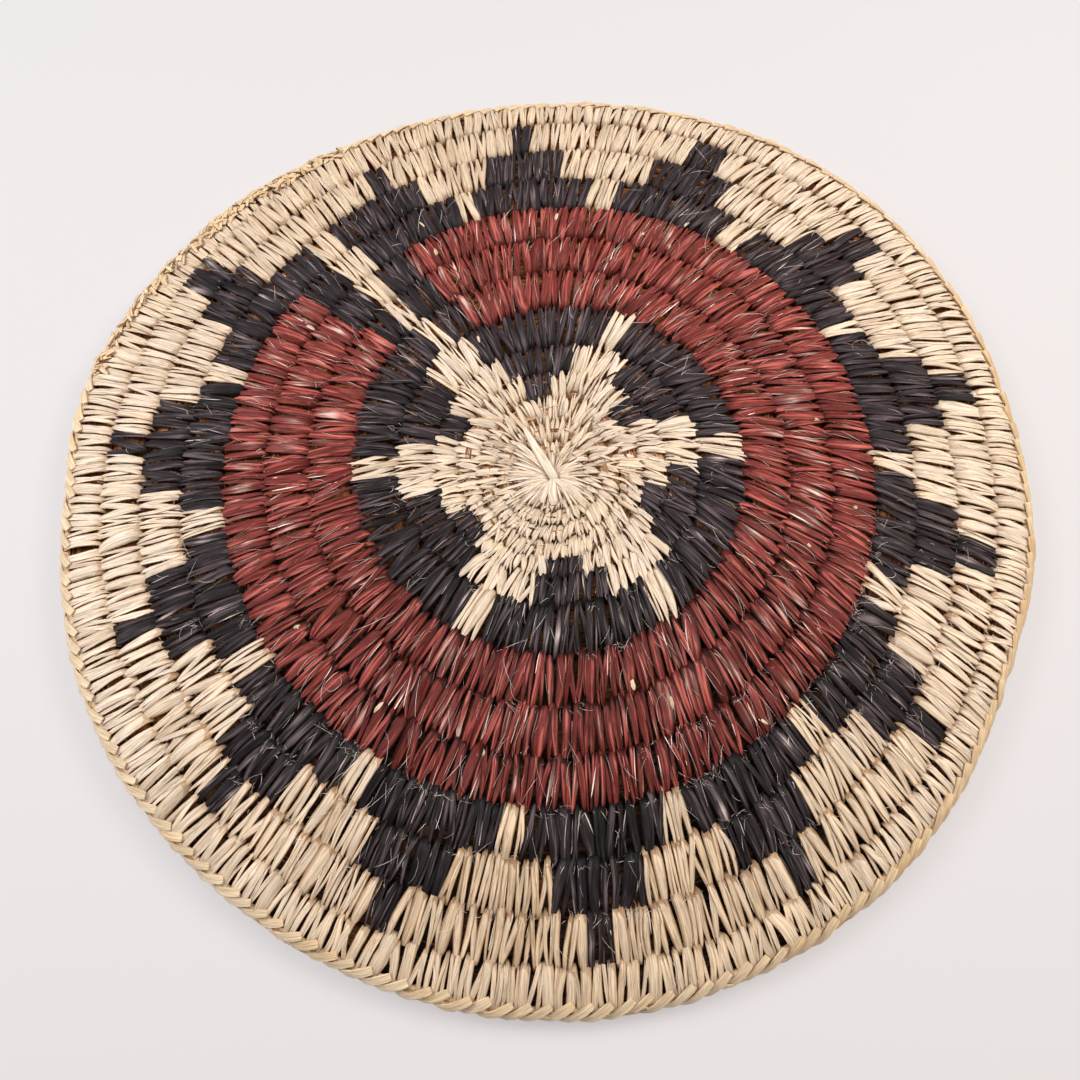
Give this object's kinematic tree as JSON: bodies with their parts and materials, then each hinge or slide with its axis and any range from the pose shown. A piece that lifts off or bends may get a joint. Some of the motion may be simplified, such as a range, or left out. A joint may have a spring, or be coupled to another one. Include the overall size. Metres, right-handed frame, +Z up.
{
  "type": "coiled ceremonial basket",
  "caption": "Flat coiled basket: one spiral fibre bundle wrapped in straw, black and red splints that form a stepped star, a broken band and stepped motifs, with a braided rim.",
  "frame": {"origin": "centre of the start knot's flat underside, on the surface that the basket lies on", "axes": "+Z up through the basket, square to its patterned face; +Y towards the side that is far from the camera in the picture"},
  "size_m": [0.3598, 0.3566, 0.014],
  "materials": {
    "straw_splint": "matte undyed split plant splints",
    "black_splint": "splints dyed black, slightly shiny",
    "red_splint": "splints dyed brownish red, matte",
    "fibre_bundle": "rough brown plant fibre"
  },
  "bodies": {
    "root": {"foundation_coil": "fibre_bundle", "start_knot": "straw_splint", "start_tail": "straw_splint", "centre_rows": "straw_splint", "star_arm_1": "straw_splint", "star_arm_2": "straw_splint", "star_arm_3": "straw_splint", "star_arm_4": "straw_splint", "star_arm_5": "straw_splint", "star_arm_6": "straw_splint", "star_step_1": "black_splint", "star_step_2": "black_splint", "star_step_3": "black_splint", "star_step_4": "black_splint", "star_step_5": "black_splint", "star_step_6": "black_splint", "red_row_inner": "red_splint", "red_row_middle": "red_splint", "red_row_outer": "red_splint", "pathway": "straw_splint", "pathway_border_left": "black_splint", "pathway_border_right": "black_splint", "outer_motif_01": "black_splint", "outer_motif_02": "black_splint", "outer_motif_03": "black_splint", "outer_motif_04": "black_splint", "outer_motif_05": "black_splint", "outer_motif_06": "black_splint", "outer_motif_07": "black_splint", "outer_motif_08": "black_splint", "outer_motif_09": "black_splint", "outer_motif_10": "black_splint", "outer_motif_11": "black_splint", "outer_motif_12": "black_splint", "outer_motif_13": "black_splint", "outer_motif_14": "black_splint", "outer_ground_01": "straw_splint", "outer_ground_02": "straw_splint", "outer_ground_03": "straw_splint", "outer_ground_04": "straw_splint", "outer_ground_05": "straw_splint", "outer_ground_06": "straw_splint", "outer_ground_07": "straw_splint", "outer_ground_08": "straw_splint", "outer_ground_09": "straw_splint", "outer_ground_10": "straw_splint", "outer_ground_11": "straw_splint", "outer_ground_12": "straw_splint", "outer_ground_13": "straw_splint", "rim_row": "straw_splint", "rim_braid": "straw_splint"}
  },
  "joints": []
}
